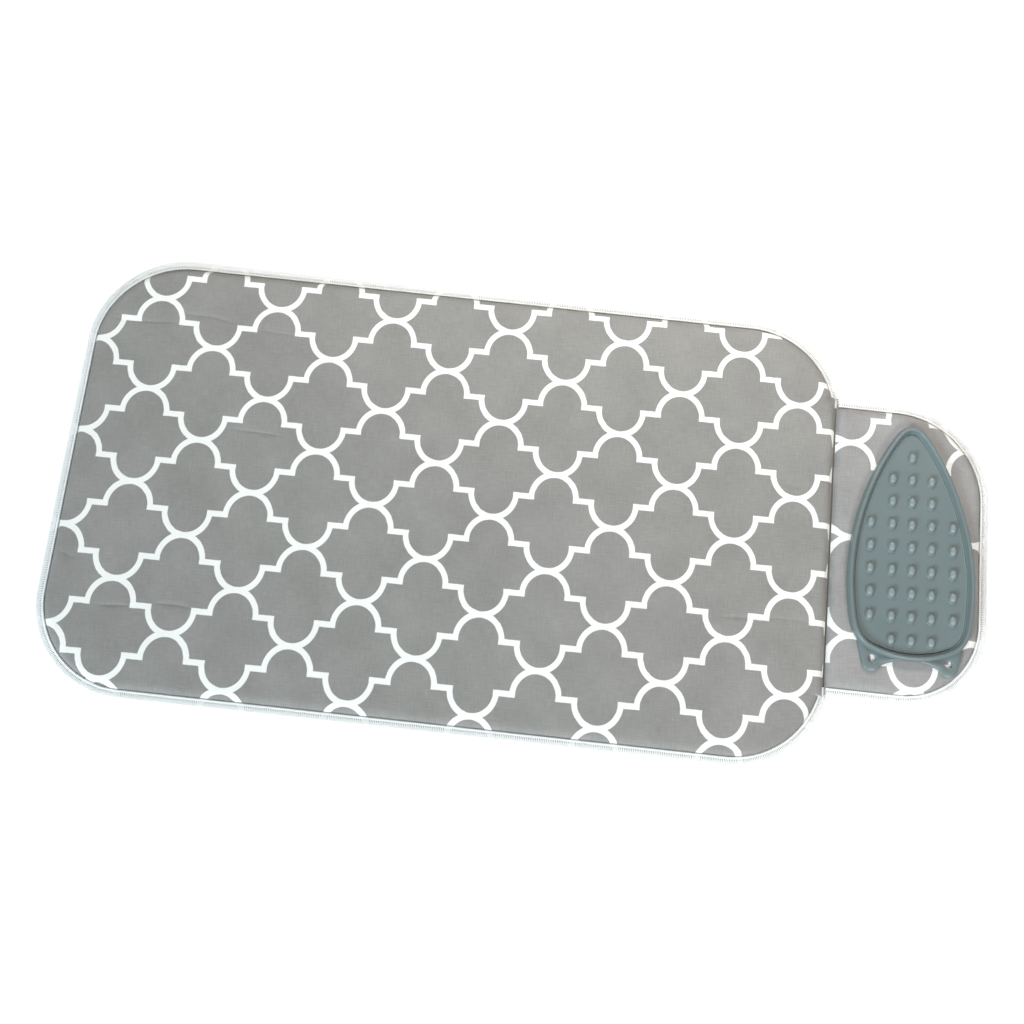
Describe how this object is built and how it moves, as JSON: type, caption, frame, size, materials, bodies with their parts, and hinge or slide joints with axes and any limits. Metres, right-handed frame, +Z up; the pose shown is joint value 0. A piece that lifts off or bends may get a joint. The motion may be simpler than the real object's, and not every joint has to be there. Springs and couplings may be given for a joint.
{
  "type": "ironing pad",
  "caption": "Flat rounded padded mat for ironing on a table, with a smaller padded flap sewn along its end and a loose studded silicone rest that holds the hot iron.",
  "frame": {"origin": "under the middle of the whole pad, on the surface that it lies on", "axes": "+X along the long side towards the flap, +Y across the pad the way the rest's tip points, +Z up"},
  "size_m": [1.0154, 0.495, 0.0195],
  "materials": {
    "printed_cotton": "matte",
    "wadding": "matte",
    "heat_barrier": "satin",
    "felt": "matte",
    "back_cloth": "matte",
    "overlock_thread": "matte",
    "silicone": "satin"
  },
  "bodies": {
    "main": {"main_top_cover": "printed_cotton", "main_wadding": "wadding", "main_heat_barrier": "heat_barrier", "main_felt": "felt", "main_back_cover": "back_cloth", "main_edge_overlock": "overlock_thread", "hinge_strip": "back_cloth"},
    "flap": {"flap_top_cover": "printed_cotton", "flap_wadding": "wadding", "flap_heat_barrier": "heat_barrier", "flap_felt": "felt", "flap_back_cover": "back_cloth", "flap_edge_overlock": "overlock_thread"},
    "rest": {"iron_rest": "silicone"}
  },
  "joints": [
    {"name": "flap_hinge", "type": "hinge", "parent": "main", "child": "flap", "pos_m": [0.3357, 0, 0], "axis": [0, 1, 0], "range_deg": [-40, 175], "deforming": ["hinge_strip"]},
    {"name": "rest_lift", "type": "slide", "parent": "flap", "child": "rest", "axis": [0, 0, 1], "range_m": [0, 0.15]}
  ]
}
